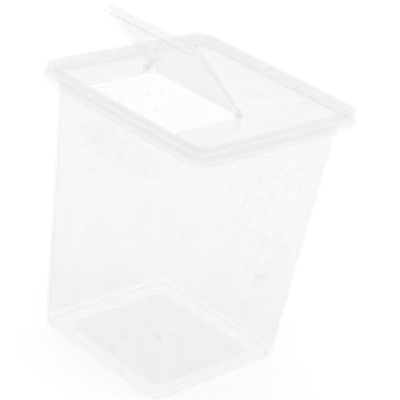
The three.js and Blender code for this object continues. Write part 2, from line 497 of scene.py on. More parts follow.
class Recipe:
    """A material that is put together node by node."""

    NOISE_ROUGHNESS = 0.55
    MIX_SHARE, MIX_FIRST, MIX_SECOND, MIX_RESULT = 0, 6, 7, 2  # a colour Mix node's sockets, by number

    def __init__(self, name: str) -> None:
        """Starts an empty material.

        Args:
            name: its name.
        """
        self.material = bpy.data.materials.new(name)
        self.material.use_nodes = True
        self.material.node_tree.nodes.clear()
        self._coordinates: bpy.types.NodeSocket | None = None
        self._axes: bpy.types.Node | None = None

    def node(self, kind: str, settings: dict[str, object], inputs: dict[str | int, object]) -> bpy.types.Node:
        """Adds a node.

        Args:
            kind: its type, as Blender names it.
            settings: its own properties, set before its sockets.
            inputs: a value, socket or Level for each input, by name or number.

        Returns:
            The node.
        """
        made = self.material.node_tree.nodes.new(kind)
        for key, value in settings.items():
            setattr(made, key, value)
        for key, value in inputs.items():
            source = value.socket if isinstance(value, Level) else value
            if isinstance(source, bpy.types.NodeSocket):
                self.material.node_tree.links.new(source, made.inputs[key])
            else:
                made.inputs[key].default_value = source
        return made

    @property
    def coordinates(self) -> bpy.types.NodeSocket:
        """Object coordinates, in metres."""
        if self._coordinates is None:
            self._coordinates = self.node("ShaderNodeTexCoord", {}, {}).outputs["Object"]
        return self._coordinates

    def stretched(self, scale: tuple[float, float, float]) -> bpy.types.NodeSocket:
        """Returns the coordinates scaled along each axis."""
        made = self.node("ShaderNodeMapping", {}, {"Vector": self.coordinates, "Scale": scale})
        return made.outputs["Vector"]

    def clouds(
        self, scale: float, detail: float = 2.0, along: tuple[float, float, float] = (1, 1, 1)
    ) -> Level:
        """Noise from 0 to 1.

        Args:
            scale: how many features there are to the metre.
            detail: how many octaves it has.
            along: factors that draw it out along an axis.

        Returns:
            The noise.
        """
        vector = self.coordinates if along == (1, 1, 1) else self.stretched(along)
        made = self.node(
            "ShaderNodeTexNoise",
            {"noise_dimensions": "3D"},
            {"Vector": vector, "Scale": scale, "Detail": detail, "Roughness": self.NOISE_ROUGHNESS},
        )
        return Level(self, made.outputs[0])

    def along(self, axis: str) -> Level:
        """Reads the place along an axis, in metres.

        Args:
            axis: "X", "Y" or "Z".

        Returns:
            The place along it.
        """
        if self._axes is None:
            self._axes = self.node("ShaderNodeSeparateXYZ", {}, {0: self.coordinates})
        return Level(self, self._axes.outputs[axis])

    def distance_from(self, place: tuple[float, float, float]) -> Level:
        """Returns the distance from a point, in metres."""
        made = self.node("ShaderNodeVectorMath", {"operation": "DISTANCE"}, {0: self.coordinates, 1: place})
        return Level(self, made.outputs["Value"])

    def distance_beside(self, line: tuple[float, float]) -> Level:
        """Measures the distance from a line along X.

        Args:
            line: Y and Z of the line, in metres.

        Returns:
            The distance, in metres.
        """
        flat = self.stretched((0.0, 1.0, 1.0))
        made = self.node("ShaderNodeVectorMath", {"operation": "DISTANCE"}, {0: flat, 1: (0.0, *line)})
        return Level(self, made.outputs["Value"])

    def slant(self) -> Level:
        """How edge-on the surface is seen, from 0 facing to 1 edge-on, as gloss needs it."""
        made = self.node("ShaderNodeLayerWeight", {}, {"Blend": 0.5})
        return Level(self, made.outputs["Facing"])

    def blend(
        self, share: Level, first: tuple[float, ...], second: tuple[float, ...]
    ) -> bpy.types.NodeSocket:
        """Mixes two colours.

        Args:
            share: how much of the second there is.
            first: the colour at 0.
            second: the colour at 1.

        Returns:
            The socket of the mixed colour.
        """
        made = self.node(
            "ShaderNodeMix",
            {"data_type": "RGBA", "blend_type": "MIX"},
            {self.MIX_SHARE: share, self.MIX_FIRST: (*first, 1), self.MIX_SECOND: (*second, 1)},
        )
        return made.outputs[self.MIX_RESULT]

    def bump(self, relief: Level, depth: float, strength: float) -> bpy.types.NodeSocket:
        """Turns a relief into a normal.

        Args:
            relief: its height, from 0 to 1.
            depth: what 1 stands for, in metres.
            strength: how much of it is felt.

        Returns:
            The socket of the normal.
        """
        made = self.node("ShaderNodeBump", {}, {"Height": relief, "Distance": depth, "Strength": strength})
        return made.outputs["Normal"]

    def output(self, shader: bpy.types.NodeSocket) -> bpy.types.Material:
        """Joins a shader to the surface and returns the material."""
        self.node("ShaderNodeOutputMaterial", {}, {"Surface": shader})
        return self.material


class Flow(Enum):
    """Which way the plastic ran in the mould, as factors that draw its streaks out."""

    UP_THE_WALLS = (1.0, 1.0, 0.07)
    ACROSS_THE_PLATE = (0.16, 1.0, 1.0)
    ALONG_THE_FLAP = (1.0, 0.2, 0.2)

@dataclass(frozen=True)
class Polypropylene:
    """What all the clear plastic has in common.

    Attributes:
        cloud_scale: milky clouds to the metre.
        streak_scale: flow streaks to the metre.
        grain_scale: grains to the metre.
        scuff_scale: scuffs to the metre.
        rub_scale: rubbed spots to the metre, under the foot.
        scuff_draw: factors that draw the scuffs out.
        milk_range: where clouds and streaks start to be milky, and where they are so in full.
        scuff_range: the same for the scuffs.
        patch_range: the same for the patches that have scuffs.
        rub_range: the same for the rubbed spots.
        cloud_milk: milkiness of the clouds.
        streak_milk: milkiness of the streaks.
        halo: inner and outer radius of a gate's halo, in metres.
        halo_milk: milkiness of a halo.
        most_milk: the most milkiness there is.
        scuff_wear: wear of the scuffs.
        foot_wear: wear all over the foot.
        rub_wear: wear of the rubbed spots, beyond that of the foot.
        clear_haze: haze of the clearest parts, as a share.
        milk_haze: what milkiness adds to that share.
        wear_haze: what wear adds to the haze.
        side_haze: what the thicker side edges add to the haze.
        ridge_haze: what the ridges add to the haze.
        edge_power: how close to edge-on the extra haze sets in.
        shade_lift_share: what the floor keeps of the haze; the cut paints the shade under the tub lighter.
        lip_share: what the thin standing lip keeps of it.
        lip_step: the height over which it gets there, in metres.
        side_step: the width over which a side edge gets thicker, in metres.
        ridge: inner and outer radius of a ridge, in metres.
        most_haze: the most haze there is.
        half: how the haze is shared out between the surface and the glow through it.
        cloud_roughness: what clouds add to the roughness.
        wear_roughness: what wear adds to it.
        streak_relief: relief of the streaks.
        grain_relief: relief of the grain.
        scuff_relief: relief of the scuffs.
        relief_depth: what a relief of 1 stands for, in metres.
        relief_strength: how much of the relief is felt.
        facing_shine: mirror light of the surface seen square on.
        edge_shine: what it gains seen edge-on.
        shine_power: how close to edge-on that sets in.
        refraction: index of refraction.
    """

    cloud_scale: float = 11.0
    streak_scale: float = 85.0
    grain_scale: float = 1500.0
    scuff_scale: float = 36.0
    rub_scale: float = 160.0
    scuff_draw: tuple[float, float, float] = (1.0, 0.3, 9.0)
    milk_range: tuple[float, float] = (0.25, 0.8)
    scuff_range: tuple[float, float] = (0.64, 0.72)
    patch_range: tuple[float, float] = (0.45, 0.7)
    rub_range: tuple[float, float] = (0.35, 0.65)
    cloud_milk: float = 0.65
    streak_milk: float = 0.35
    halo: tuple[float, float] = (0.004, 0.032)
    halo_milk: float = 0.8
    most_milk: float = 1.6
    scuff_wear: float = 0.55
    foot_wear: float = 0.1
    rub_wear: float = 0.4
    clear_haze: float = 0.85
    milk_haze: float = 0.3
    wear_haze: float = 0.12
    side_haze: float = 0.1
    ridge_haze: float = 0.3
    edge_power: float = 4.0
    shade_lift_share: float = 0.12
    lip_share: float = 0.25
    lip_step: float = 0.0005
    side_step: float = 0.0008
    ridge: tuple[float, float] = (0.0006, 0.0026)
    most_haze: float = 0.9
    half: float = 0.5
    cloud_roughness: float = 0.08
    wear_roughness: float = 0.3
    streak_relief: float = 0.3
    grain_relief: float = 0.14
    scuff_relief: float = 0.25
    relief_depth: float = 0.0002
    relief_strength: float = 0.5
    facing_shine: float = 0.035
    edge_shine: float = 0.6
    shine_power: float = 5.0
    refraction: float = 1.49


RESIN = Polypropylene()


@dataclass(frozen=True)
class ClearPlastic:
    """Natural polypropylene: clear but milky, softly glossy, with flow streaks, scuffs and fine grain.

    Attributes:
        name: name of the material.
        haze: how much one skin of the wall hides, seen square on.
        edge_haze: how much more it hides seen edge-on.
        light: colour of its clearest parts.
        dark: colour of its milkiest parts.
        roughness: roughness of its clean parts.
        flow: which way its streaks run.
        gates: places where the plastic was let in, with a milky halo round each.
        worn_below: height under which the foot is scuffed, in metres.
        shade_lift_below: height under which the floor's haze is cut, in metres, which paints the shade under
            the tub lighter.
        clear_above: height over which the thin standing lip is clearer, in metres.
        thick_beyond: distance to each side beyond which the edge is thicker, in metres.
        ridges: Y and Z of the edges along X where two walls meet and the plastic is thicker.
    """

    name: str
    haze: float
    edge_haze: float
    light: tuple[float, float, float]
    dark: tuple[float, float, float]
    roughness: float
    flow: Flow
    gates: tuple[tuple[float, float, float], ...] = ()
    worn_below: float = 0.0
    shade_lift_below: float = 0.0
    clear_above: float = 0.0
    thick_beyond: float = 0.0
    ridges: tuple[tuple[float, float], ...] = ()

    def material(self) -> bpy.types.Material:
        """Builds the material.

        Returns:
            The material, with its pattern on object coordinates.
        """
        recipe = Recipe(self.name)
        cloud = recipe.clouds(RESIN.cloud_scale, detail=3.0)
        streak = recipe.clouds(RESIN.streak_scale, along=self.flow.value)
        grain = recipe.clouds(RESIN.grain_scale)
        scuff = recipe.clouds(RESIN.scuff_scale, along=RESIN.scuff_draw).rise(*RESIN.scuff_range)
        scuff = scuff * cloud.rise(*RESIN.patch_range)
        wear = self._wear(recipe, scuff)
        milk = self._milk(recipe, cloud, streak)
        slant = recipe.slant()
        opacity = self._opacity(recipe, milk, wear, slant)
        roughness = self.roughness + cloud * RESIN.cloud_roughness + wear * RESIN.wear_roughness
        relief = streak * RESIN.streak_relief + grain * RESIN.grain_relief + scuff * RESIN.scuff_relief
        normal = recipe.bump(relief, RESIN.relief_depth, RESIN.relief_strength)
        body = recipe.node(
            "ShaderNodeBsdfPrincipled",
            {},
            {
                "Base Color": recipe.blend(milk.at_most(1.0), self.light, self.dark),
                "Roughness": roughness,
                "Alpha": opacity * RESIN.half,
                "Normal": normal,
                "IOR": RESIN.refraction,
            },
        )
        glow = recipe.node("ShaderNodeBsdfTranslucent", {}, {"Color": (*self.light, 1), "Normal": normal})
        milky = recipe.node(
            "ShaderNodeMixShader", {}, {0: opacity * RESIN.half, 1: body.outputs[0], 2: glow.outputs[0]}
        )
        gloss = recipe.node(
            "ShaderNodeBsdfAnisotropic", {}, {"Color": (1, 1, 1, 1), "Roughness": roughness, "Normal": normal}
        )
        shine = RESIN.facing_shine + slant**RESIN.shine_power * RESIN.edge_shine
        skin = recipe.node("ShaderNodeMixShader", {}, {0: shine, 1: milky.outputs[0], 2: gloss.outputs[0]})
        return recipe.output(skin.outputs[0])

    def _wear(self, recipe: Recipe, scuff: Level) -> Level:
        """Works out how worn the surface is.

        Args:
            recipe: the material in the making.
            scuff: where it is scuffed.

        Returns:
            The wear, from 0 to 1, with a rubbed foot where the piece has one.
        """
        wear = scuff * RESIN.scuff_wear
        if self.worn_below > 0:
            foot = 1.0 - recipe.along("Z").rise(0.0, self.worn_below)
            rub = recipe.clouds(RESIN.rub_scale, detail=3.0).rise(*RESIN.rub_range)
            wear = (wear + foot * (RESIN.foot_wear + rub * RESIN.rub_wear)).at_most(1.0)
        return wear

    def _milk(self, recipe: Recipe, cloud: Level, streak: Level) -> Level:
        """Works out how milky the plastic is.

        Args:
            recipe: the material in the making.
            cloud: its clouds.
            streak: its flow streaks.

        Returns:
            The milkiness, which goes beyond 1 round a gate.
        """
        milk = cloud.rise(*RESIN.milk_range) * RESIN.cloud_milk
        milk = milk + streak.rise(*RESIN.milk_range) * RESIN.streak_milk
        for gate in self.gates:
            halo = 1.0 - recipe.distance_from(gate).rise(*RESIN.halo)
            milk = (milk + halo * RESIN.halo_milk).at_most(RESIN.most_milk)
        return milk

    def _opacity(self, recipe: Recipe, milk: Level, wear: Level, slant: Level) -> Level:
        """Works out how much one skin hides.

        Args:
            recipe: the material in the making.
            milk: how milky it is.
            wear: how worn it is.
            slant: how edge-on it is seen.

        Returns:
            The opacity: less on the floor, where the cut paints the shade under the tub lighter, less on a
                thin lip and more on thick edges.
        """
        opacity = self.haze * (RESIN.clear_haze + milk * RESIN.milk_haze) + wear * RESIN.wear_haze
        opacity = opacity + slant**RESIN.edge_power * self.edge_haze
        # Painted lift of shade: the floor's haze is cut so that the shade falling under the tub reads
        # lighter.
        if self.shade_lift_below > 0:
            wall = recipe.along("Z").rise(self.shade_lift_below, 2 * self.shade_lift_below)
            opacity = opacity * (RESIN.shade_lift_share + wall * (1 - RESIN.shade_lift_share))
        if self.clear_above > 0:
            lip = recipe.along("Z").rise(self.clear_above, self.clear_above + RESIN.lip_step)
            opacity = opacity * (1.0 - lip * (1 - RESIN.lip_share))
        if self.thick_beyond > 0:
            side = abs(recipe.along("X")).rise(self.thick_beyond - RESIN.side_step, self.thick_beyond)
            opacity = opacity + side * RESIN.side_haze
        for ridge in self.ridges:
            opacity = opacity + (1.0 - recipe.distance_beside(ridge).rise(*RESIN.ridge)) * RESIN.ridge_haze
        return opacity.at_most(RESIN.most_haze)


@dataclass(frozen=True)
class PaleFloor:
    """A plain pale studio floor with a faint unevenness.

    Attributes:
        shade: how light it is.
        patch_shade: how light its darker patches are, as a share of that.
        patch_scale: patches to the metre.
        roughness: roughness of its lighter parts.
        patch_roughness: what its darker patches add to it.
    """

    shade: float = 0.985
    patch_shade: float = 0.995
    patch_scale: float = 1.5
    roughness: float = 0.75
    patch_roughness: float = 0.1

    def material(self) -> bpy.types.Material:
        """Builds the material.

        Returns:
            The material.
        """
        recipe = Recipe("pale_floor")
        patch = recipe.clouds(self.patch_scale)
        colour = recipe.blend(patch, (self.shade,) * 3, (self.shade * self.patch_shade,) * 3)
        surface = recipe.node(
            "ShaderNodeBsdfPrincipled",
            {},
            {"Base Color": colour, "Roughness": self.roughness + patch * self.patch_roughness},
        )
        return recipe.output(surface.outputs[0])


TUB_PLASTIC = ClearPlastic(
    name="tub_clear_plastic",
    haze=0.13,
    edge_haze=0.26,
    light=(0.79, 0.79, 0.792),
    dark=(0.74, 0.74, 0.742),
    roughness=0.2,
    flow=Flow.UP_THE_WALLS,
    gates=((0.0, 0.0, 0.003),),
    worn_below=0.0011,
    # below this height the haze is cut, which paints the shade under the tub lighter
    shade_lift_below=0.0045,
    clear_above=0.3842,
)
MARK_PLASTIC = replace(
    TUB_PLASTIC,
    name="mark_clear_plastic",
    haze=0.035,
    edge_haze=0.15,
    gates=(),
    worn_below=0.0,
    shade_lift_below=0.0,
    clear_above=0.0,
)
LID_PLASTIC = ClearPlastic(
    name="lid_clear_plastic",
    haze=0.125,
    edge_haze=0.16,
    light=(0.77, 0.77, 0.772),
    dark=(0.72, 0.72, 0.722),
    roughness=0.18,
    flow=Flow.ACROSS_THE_PLATE,
    gates=((0.036, 0.068, 0.39),),
)
FLAP_PLASTIC = ClearPlastic(
    name="flap_clear_plastic",
    haze=0.115,
    edge_haze=0.34,
    light=(0.79, 0.79, 0.792),
    dark=(0.75, 0.75, 0.752),
    roughness=0.18,
    flow=Flow.ALONG_THE_FLAP,
    thick_beyond=0.0868,
    ridges=((-0.1145, 0.5039), (-0.1246, 0.4941)),
)


class Slot(Enum):
    """The record's material slots."""

    TUB = "tub_plastic"
    LID = "lid_plastic"
    FLAP = "flap_plastic"


class Body(Enum):
    """The frame's bodies."""

    BIN = "bin"
    LID = "lid"
    FLAP = "flap"


def dress(obj: bpy.types.Object, body: Body, material: bpy.types.Material) -> bpy.types.Object:
    """Gives a finished piece its material and its body.

    Args:
        obj: the piece.
        body: the body it rides on.
        material: its material.

    Returns:
        The piece.
    """
    obj.data.materials.clear()
    obj.data.materials.append(material)
    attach(obj, body.value)
    LOG.info("%s: %d faces, on %s", obj.name, len(obj.data.polygons), body.value)
    return obj


# ---------------------------------------------------------------- the bin's own pieces


@dataclass(frozen=True)
class PawPad:
    """One raised pad: its middle, its two half-widths and how much narrower its top half is."""

    x: float
    y: float
    half_x: float
    half_y: float
    taper: float = 1.0


@dataclass(frozen=True)
class PawMark:
    """A raised paw mark of one large pad and four toes, drawn 1 wide.

    Attributes:
        proud: how far it stands out of the wall, in metres.
        sunk: how far it reaches into the wall, in metres.
        chords: chords round each pad.
        upright: the share of its relief that is its upright edge.
        domes: the shares that the steps of its dome add.
        dome_inset: how far in each step lies, as a share of the pad's narrower half-width.
        taper_from: where a tapered pad gets narrower, as a share of its upper half.
        pads: the pads.
    """

    proud: float = 0.7 * MM
    sunk: float = 0.5 * MM
    chords: int = 20
    upright: float = 0.6
    domes: tuple[float, ...] = (0.28, 0.12)
    dome_inset: float = 0.3
    taper_from: float = 0.3
    pads: tuple[PawPad, ...] = (
        PawPad(0.0, -0.17, 0.27, 0.22, 0.72),
        PawPad(-0.37, 0.1, 0.1, 0.14),
        PawPad(-0.14, 0.31, 0.105, 0.15),
        PawPad(0.14, 0.31, 0.105, 0.15),
        PawPad(0.37, 0.1, 0.1, 0.14),
    )

    def build(self, name: str, width: float) -> bpy.types.Object:
        """Models the mark lying flat, facing up.

        Args:
            name: its name.
            width: its width in metres.

        Returns:
            The mark.
        """
        piece = Workpiece(name)
        for pad in self.pads:
            place = Vector((pad.x * width, pad.y * width, -self.sunk))
            piece.add_disc(1.0, place, self.chords)
            piece.stretch((pad.half_x * width, pad.half_y * width, 1), place)
            points = piece.picked_points()
            if pad.taper != 1:
                taper_from = place.y + self.taper_from * pad.half_y * width
                piece.pick_points(points, lambda at: at.y > taper_from)
                piece.stretch((pad.taper, 1, 1), place)
                piece.pick_points(points)
            piece.pull((0, 0, self.sunk + self.proud * self.upright))
            for share in self.domes:
                bpy.ops.mesh.inset(thickness=min(pad.half_x, pad.half_y) * width * self.dome_inset)
                piece.shift((0, 0, self.proud * share))
        made = piece.finish()
        Bench.smooth(made, 60.0)
        return made


@dataclass(frozen=True)
class Stud:
    """A round or oval shape that is built up in steps from its foot, with sizes in millimetres.

    Attributes:
        half_x: half its width.
        half_y: half its depth.
        place: middle of its foot.
        steps: for each step, how far in it starts, how far it slopes up and how far its wall then rises.
        chords: chords round it.
        edge: width of the rounding of its edges, or 0.
        crisp: edges sharper than this many degrees stay crisp.
    """

    half_x: float
    half_y: float
    place: tuple[float, float, float]
    steps: tuple[tuple[float, float, float], ...]
    chords: int = 28
    edge: float = 0.15
    crisp: float = 32.0

    def build(self, name: str) -> bpy.types.Object:
        """Models the stud.

        Args:
            name: its name.

        Returns:
            The stud.
        """
        piece = Workpiece(name)
        place = Vector(self.place) * MM
        is_round = self.half_x == self.half_y
        piece.add_disc(self.half_x * MM if is_round else 1.0, place, self.chords)
        if not is_round:
            piece.stretch((self.half_x * MM, self.half_y * MM, 1), place)
        for inset, slope, rise in self.steps:
            if inset:
                bpy.ops.mesh.inset(thickness=inset * MM)
            if slope:
                piece.shift((0, 0, slope * MM))
            if rise:
                piece.pull((0, 0, rise * MM))
        made = piece.finish()
        if self.edge:
            Bench.bevel(made, self.edge * MM)
        Bench.smooth(made, self.crisp)
        return made


@dataclass
class Tub:
    """The tapered square tub with its foot ring, flange, turned-down hem and standing lip.

    Sizes are in millimetres. A half is a distance from the middle, and a corner centre is the distance of
    a corner curve's centre from the middle, at the level its name gives. The section takes in floor_edge of
    the floor's raised middle. What lies less than corner_slack inside the lip has the lid's corner centre,
    and no corner centre is more than squarest of its half-width.
    """

    base_half: float = 125.3
    shoulder_half: float = 144.7
    shoulder_height: float = 377.0
    wall: float = 2.0
    floor: float = 2.5
    floor_rise: float = 1.5
    rise_width: float = 3.0
    floor_edge: float = 2.0
    foot_ring_half: float = 95.0
    foot_round: float = 8.0
    flange_top: float = 384.0
    hem_half: float = 162.3
    lip_outer: float = 156.8
    lip_top: float = 396.6
    corner_centre_base: float = 101.5
    corner_centre_shoulder: float = 120.0
    corner_centre_lid: float = 128.5
    corner_centre_hem: float = 134.0
    corner_slack: float = 1.0
    squarest: float = 0.8
    corner_steps: int = 14
    plastic: ClearPlastic = TUB_PLASTIC
    panel: Stud = Stud(
        82.0,
        27.0,
        (0.0, 0.0, -0.5),
        ((0.0, 0.0, 0.8), (0.25, 0.12, 0.0), (2.2, 0.0, 0.0), (0.3, -0.2, 0.0)),
        chords=72,
        edge=0.0,
        crisp=50.0,
    )
    panel_height: float = 334.0
    panel_along: float = 4.0
    front_paw: float = 32.0
    front_paw_step: float = 50.0
    large_paw: float = 98.0
    large_paw_height: float = 180.0
    large_paw_along: float = 44.0
    small_paw: float = 13.0
    rows: tuple[float, ...] = (322.0, 294.0, 266.0)
    columns: int = 6
    column_step: float = 28.0
    first_column: float = -72.0
    stagger: float = 7.0
    gate: Stud = Stud(5.0, 5.0, (0.0, 0.0, 1.9), ((0.0, 0.0, -0.8), (2.4, 0.0, -0.35), (0.6, 0.0, 0.0)))

    def wall_half(self, height: float) -> float:
        """Returns the wall's outer half-width at a height, in millimetres."""
        return self.base_half + (self.shoulder_half - self.base_half) * height / self.shoulder_height

    def ring(self, half: float, height: float) -> Ring:
        """Works out the outline at a place on the section.

        Args:
            half: its half-width, in millimetres.
            height: its height, in millimetres.

        Returns:
            The outline, in metres, with the corner curves of that level.
        """
        slack = self.corner_slack
        if half > self.lip_outer - self.wall - slack:
            step = (half - self.lip_outer - slack) / (self.hem_half - self.wall - self.lip_outer - 2 * slack)
            start, growth = self.corner_centre_lid, self.corner_centre_hem - self.corner_centre_lid
        else:
            step = height / self.flange_top
            start, growth = self.corner_centre_base, self.corner_centre_shoulder - self.corner_centre_base
            growth = growth * self.flange_top / self.shoulder_height
        centre = min(start + growth * min(max(step, 0.0), 1.0), self.squarest * half)
        return Ring(centre * MM, centre * MM, (half - centre) * MM, height * MM)

    def profile(self) -> list[tuple[float, float]]:
        """Rounds the wall's section.

        Returns:
            Half-width and height of its points, from the underside round the rim to the floor inside.
        """
        lip_inner = self.lip_outer - self.wall
        flange_under = self.flange_top - self.wall
        inner_foot = self.wall_half(self.floor) - self.wall
        rise_end = self.foot_ring_half - self.rise_width
        start = rise_end - self.floor_edge
        return rounded_profile(
            (
                Knee(start, self.floor_rise),
                Knee(rise_end, self.floor_rise, 0.8),
                Knee(self.foot_ring_half, 0, 0.8),
                Knee(self.base_half, 0, self.foot_round),
                Knee(self.wall_half(flange_under), flange_under, 1.4),
                Knee(self.hem_half - self.wall, flange_under, 0.9),
                Knee(self.hem_half - self.wall, self.shoulder_height, 0.6),
                Knee(self.hem_half, self.shoulder_height, 0.9),
                Knee(self.hem_half, self.flange_top, 0.9),
                Knee(self.lip_outer, self.flange_top, 0.6),
                Knee(self.lip_outer, self.lip_top, 0.8),
                Knee(lip_inner, self.lip_top, 0.8),
                Knee(lip_inner, self.flange_top, 0.8),
                Knee(self.wall_half(self.flange_top) - self.wall, self.flange_top, 1.2),
                Knee(inner_foot, self.floor, self.foot_round - self.wall),
                Knee(self.foot_ring_half, self.floor, 0.8),
                Knee(rise_end, self.floor + self.floor_rise, 0.8),
                Knee(start, self.floor + self.floor_rise),
            )
        )

    def build_shell(self) -> bpy.types.Object:
        """Models the tub in one closed skin.

        Returns:
            The tub.
        """
        piece = Workpiece("tub_shell")
        draw = OutlineDraw(piece, self.corner_steps)
        points = self.profile()
        draw.begin(self.ring(*points[0]), keep_face=True)
        for half, height in points[1:]:
            draw.draw_to(self.ring(half, height))
        draw.close()
        made = piece.finish()
        Bench.smooth(made)
        return made

    def on_wall(self, height: float, along: float, quarter_turns: int) -> Matrix:
        """Returns the place of a mark that lies on a wall.

        Args:
            height: height of its middle, in millimetres.
            along: distance of its middle to the right of the wall's middle line, in millimetres.
            quarter_turns: 0 for the front wall, 1 for the right, 2 for the back and 3 for the left.

        Returns:
            The matrix that puts a mark modelled flat onto the wall.
        """
        lean = math.atan2(self.shoulder_half - self.base_half, self.shoulder_height)
        place = Matrix.Translation((along * MM, -self.wall_half(height) * MM, height * MM))
        upright = Matrix.Rotation(QUARTER_TURN + lean, 4, "X")
        return Matrix.Rotation(quarter_turns * QUARTER_TURN, 4, "Z") @ place @ upright

    def build_panel(self) -> bpy.types.Object:
        """Models the raised oval panel on the front wall and returns it."""
        made = self.panel.build("front_oval_panel")
        Bench.place(made, self.on_wall(self.panel_height, self.panel_along, 0))
        return made

    def build_paws(self) -> list[bpy.types.Object]:
        """Models one raised paw, copies it in staggered rows on the side walls, and adds the larger ones.

        Returns:
            Every mark on the walls.
        """
        pattern = PawMark().build("paw_pattern", self.small_paw * MM)
        marks: list[bpy.types.Object] = []
        for side, turns in (("right", 1), ("left", 3)):
            for row, height in enumerate(self.rows):
                for column in range(self.columns):
                    along = self.first_column + self.column_step * column + (self.stagger if row % 2 else 0.0)
                    mark = Bench.copy(pattern, f"paw_{side}_{row + 1}_{column + 1}")
                    Bench.place(mark, self.on_wall(height, along, turns))
                    marks.append(mark)
        large = PawMark().build("paw_right_large", self.large_paw * MM)
        Bench.place(large, self.on_wall(self.large_paw_height, self.large_paw_along, 1))
        marks.append(large)
        for number, step in enumerate((-1, 0, 1)):
            mark = PawMark().build(f"paw_front_{number + 1}", self.front_paw * MM)
            along = self.panel_along + step * self.front_paw_step
            Bench.place(mark, self.on_wall(self.panel_height, along, 0))
            marks.append(mark)
        bpy.data.objects.remove(pattern)
        return marks

    def build(self) -> None:
        """Builds and dresses the tub."""
        material = self.plastic.material()
        shell = dress(self.build_shell(), Body.BIN, material)
        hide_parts("bin_body")
        relief = MARK_PLASTIC.material()
        for part in (self.build_panel(), self.gate.build("tub_gate_nub"), *self.build_paws()):
            dress(part, Body.BIN, relief)


def rod(name: str, radius: float, start: float, end: float, chords: int = 40) -> bpy.types.Object:
    """Models a plain round rod along X, about the origin.

    Args:
        name: its name.
        radius: its radius, in millimetres.
        start: X of its inner end.
        end: X of its outer end.
        chords: chords round it.

    Returns:
        The rod.
    """
    piece = Workpiece(name)
    piece.add_disc(radius * MM, Vector((start * MM, 0, 0)), chords, across=True)
    piece.pull(((end - start) * MM, 0, 0))
    return piece.finish()


@dataclass
class Lug:
    """A flat lug with a round end about the hinge axis, and a square end that joins its piece.

    Attributes:
        radius: radius of the round end, in millimetres.
        reach: how far the square end lies from the axis: up if positive, down if negative.
        start: X of its inner side.
        end: X of its outer side.
        hole: radius of the hole for the pin, or 0.
        chords: chords in a full circle of its round end.
        edge: width of the rounding of its edges, in millimetres.
    """

    radius: float
    reach: float
    start: float
    end: float
    hole: float = 0.0
    chords: int = 48
    edge: float = 0.35

    def build(self, name: str) -> bpy.types.Object:
        """Models the lug with the hinge axis along X through the origin.

        Args:
            name: its name.

        Returns:
            The lug.
        """
        side = 1 if self.reach > 0 else -1
        piece = Workpiece(name)
        outline_at = Vector((self.start * MM, 0, 0))
        piece.add_disc(self.radius * MM, outline_at, self.chords, across=True, filled=False)
        piece.pick(Grip.POINTS, lambda place: place.z * side > TOUCH)
        bpy.ops.mesh.delete(type="VERT")
        piece.pick(Grip.POINTS, lambda place: abs(place.z) < TOUCH)
        bpy.ops.mesh.extrude_vertices_move(TRANSFORM_OT_translate={"value": (0, 0, self.reach * MM)})
        bpy.ops.mesh.select_all(action="SELECT")
        bpy.ops.mesh.edge_face_add()
        piece.pull(((self.end - self.start) * MM, 0, 0))
        made = piece.finish()
        if self.hole:
            Bench.cut(made, rod("hinge_drill", self.hole, self.start - 1, self.end + 1))
        Bench.bevel(made, self.edge * MM, angle=45.0)
        Bench.smooth(made)
        return made


@dataclass
class Hinge:
    """Where the flap turns on the lid, with its pins, ears and bosses.

    Sizes are in millimetres. A start and an end are distances of a right-hand part's two sides from the
    middle. An ear reaches ear_sunk into the lid's plate, and a boss ends boss_short of the flap's upper face.
    """

    y: float = -20.0
    z: float = 395.5
    rest_angle: float = 46.0
    pin_radius: float = 2.0
    pin_gap: float = 0.3
    pin_start: float = 87.5
    pin_end: float = 93.2
    pin_edge: float = 0.45
    ear_radius: float = 4.5
    ear_start: float = 89.6
    ear_end: float = 93.6
    boss_radius: float = 4.0
    boss_start: float = 84.5
    ear_sunk: float = 0.5
    boss_short: float = 0.5

    def on_lid(self) -> Matrix:
        """Returns the place of what stands on the lid at the axis."""
        return Matrix.Translation((0, self.y * MM, self.z * MM))

    def on_flap(self) -> Matrix:
        """Returns the place of what is modelled on the closed flap, at rest."""
        return self.on_lid() @ Matrix.Rotation(-math.radians(self.rest_angle), 4, "X")

    def build_pin(self, name: str) -> bpy.types.Object:
        """Models the right-hand pin about the origin.

        Args:
            name: its name.

        Returns:
            The pin.
        """
        made = rod(name, self.pin_radius, self.pin_start, self.pin_end)
        Bench.bevel(made, self.pin_edge * MM, 3)
        Bench.smooth(made)
        return made


def mirrored_pair(part: bpy.types.Object, stem: str) -> tuple[bpy.types.Object, bpy.types.Object]:
    """Names a right-hand part and makes its left-hand twin.

    Args:
        part: the right-hand part.
        stem: the first part of both names.

    Returns:
        The right-hand and the left-hand part.
    """
    part.name = f"{stem}_right"
    part.data.name = part.name
    twin = Bench.copy(part, f"{stem}_left")
    bpy.ops.object.mode_set(mode="EDIT")
    bpy.ops.mesh.select_all(action="SELECT")
    bpy.ops.transform.resize(value=(-1, 1, 1), center_override=(0, 0, 0))
    bpy.ops.mesh.normals_make_consistent(inside=False)
    bpy.ops.object.mode_set(mode="OBJECT")
    Bench.smooth(twin)
    return part, twin


